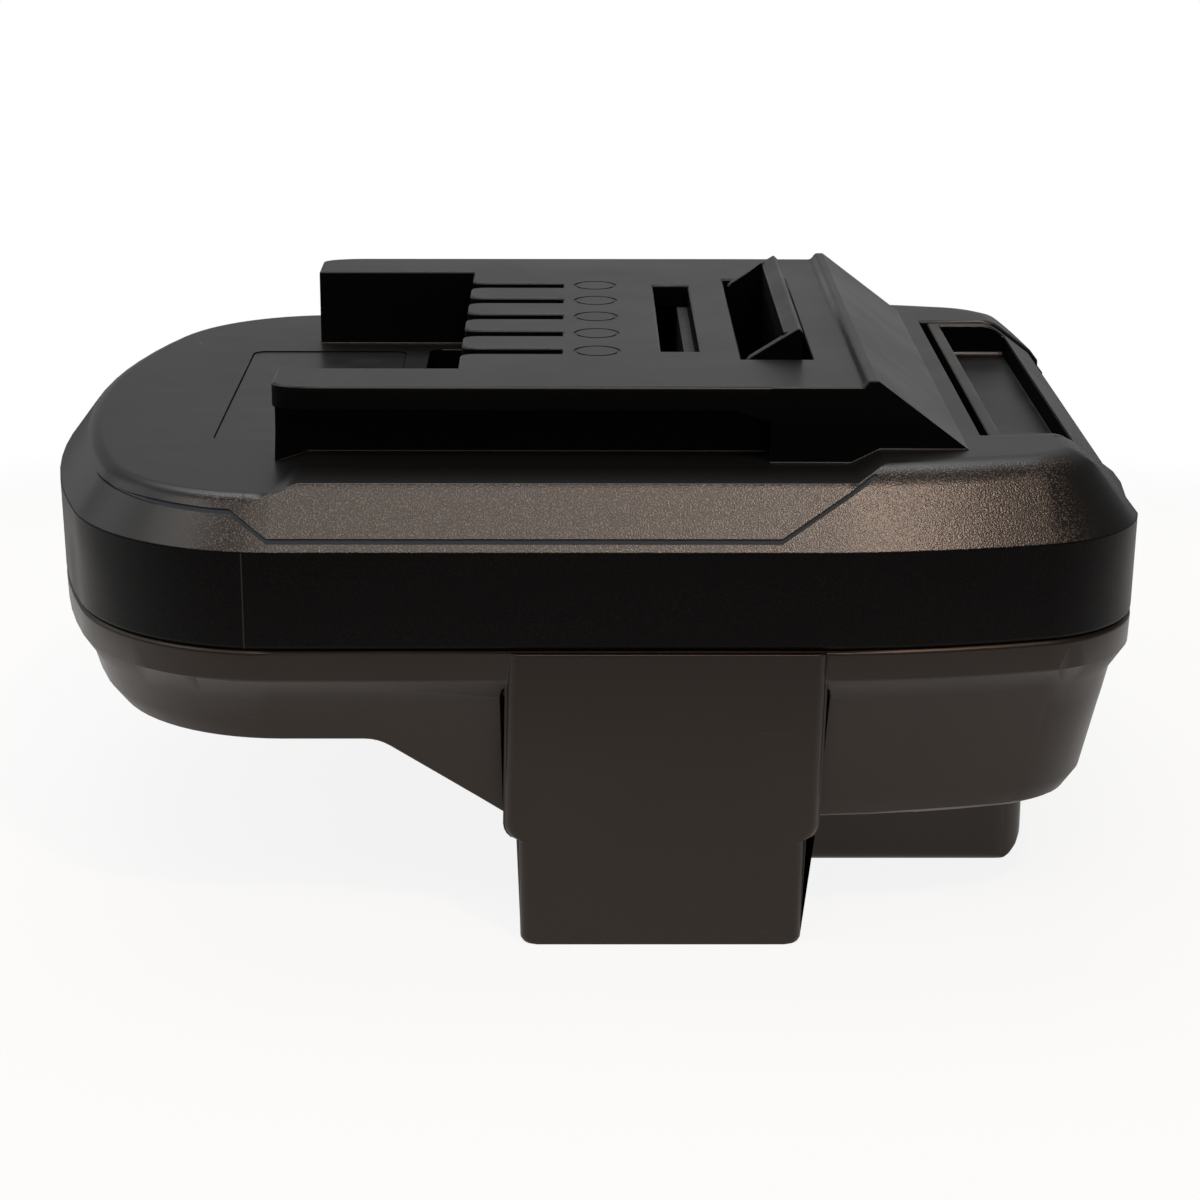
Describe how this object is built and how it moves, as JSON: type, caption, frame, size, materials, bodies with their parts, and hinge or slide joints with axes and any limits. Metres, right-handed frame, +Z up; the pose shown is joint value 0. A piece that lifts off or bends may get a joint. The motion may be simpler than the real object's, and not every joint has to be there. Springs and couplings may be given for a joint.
{
  "type": "tool battery adapter",
  "caption": "Adapter that sits between a stem-type battery pack and a slide-on cordless tool, with a top rail, a sprung release latch, contact slots and a socket underneath.",
  "frame": {"origin": "centre of the bounding box in plan, at the foot of the side ears and of the socket collar", "axes": "+X from the rail's open entry end towards the release button, +Y to the left seen from the entry end looking along +X, +Z up towards the rail that the tool slides on to"},
  "size_m": [0.0985, 0.0792, 0.0489],
  "materials": {
    "upper_plastic": "black moulded nylon, fine matte on the deck and coarse grain on the chamfer",
    "lower_plastic": "warm black moulded nylon, fine matte",
    "latch_plastic": "black moulded acetal, satin",
    "spring_steel": "bright drawn spring wire",
    "holder_plastic": "black glass-filled nylon",
    "contact_alloy": "nickel-plated copper alloy strip",
    "wire_red": "red silicone insulation",
    "wire_black": "black silicone insulation",
    "wire_yellow": "yellow silicone insulation",
    "screw_steel": "zinc-plated steel",
    "rivet_brass": "plain brass",
    "label_film": "blank satin film, slightly blue"
  },
  "bodies": {
    "housing": {"upper_housing": "upper_plastic", "lower_housing": "lower_plastic", "latch_spring_left": "spring_steel", "latch_spring_right": "spring_steel", "contact_holder": "holder_plastic", "positive_clip": "contact_alloy", "negative_clip": "contact_alloy", "signal_clip": "contact_alloy", "positive_leaf": "contact_alloy", "negative_leaf": "contact_alloy", "signal_leaf": "contact_alloy", "positive_wire": "wire_red", "negative_wire": "wire_black", "signal_wire": "wire_yellow", "housing_screws": "screw_steel", "holder_screws": "screw_steel", "leaf_rivets": "rivet_brass", "blank_label": "label_film"},
    "latch": {"release_latch": "latch_plastic"}
  },
  "joints": [
    {"name": "latch_press", "type": "slide", "parent": "housing", "child": "latch", "axis": [0, 0, -1], "range_m": [0, 0.0032], "stiffness_N_per_m": 1500, "springref_m": -0.003, "deforming": ["latch_spring_left", "latch_spring_right"]}
  ]
}
